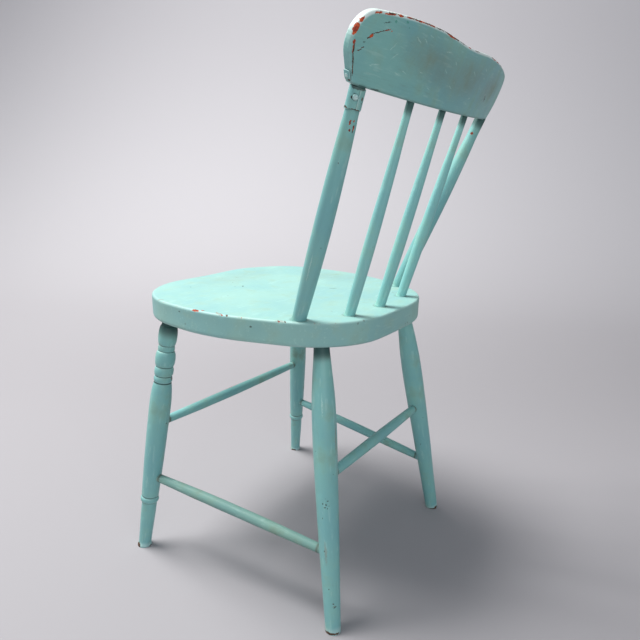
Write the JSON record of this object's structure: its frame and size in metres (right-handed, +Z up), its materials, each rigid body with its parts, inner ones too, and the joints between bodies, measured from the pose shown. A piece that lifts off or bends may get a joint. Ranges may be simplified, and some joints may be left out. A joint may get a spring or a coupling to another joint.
{
  "type": "kitchen chair",
  "caption": "Plank-seat kitchen chair with turned legs, stretchers, a spindle back and a bent crest rail, its old turquoise paint chipped and worn. Stands on its feet and is sat on.",
  "frame": {"origin": "on the floor, at the middle of the chair's bounding box", "axes": "+Z up, the sitter faces -Y, the sitter's left is +X"},
  "size_m": [0.4674, 0.4916, 0.8063],
  "materials": {
    "painted_wood": "old turquoise gloss paint over a red-brown coat and bare wood, chipped and rubbed at the edges",
    "painted_sheet": "thin sheet metal painted over with the chair's turquoise paint, worn at its edges",
    "painted_screw": "steel screw heads painted over and rubbed"
  },
  "bodies": {
    "root": {"seat": "painted_wood", "leg_front_left": "painted_wood", "leg_front_right": "painted_wood", "leg_back_left": "painted_wood", "leg_back_right": "painted_wood", "stretcher_front": "painted_wood", "stretcher_back": "painted_wood", "stretcher_left": "painted_wood", "stretcher_right": "painted_wood", "post_left": "painted_wood", "post_right": "painted_wood", "spindle_left": "painted_wood", "spindle_middle": "painted_wood", "spindle_right": "painted_wood", "crest_rail": "painted_wood", "post_sleeve": "painted_sheet", "sleeve_screw": "painted_screw", "end_plate": "painted_sheet", "end_plate_screw": "painted_screw"}
  },
  "joints": []
}
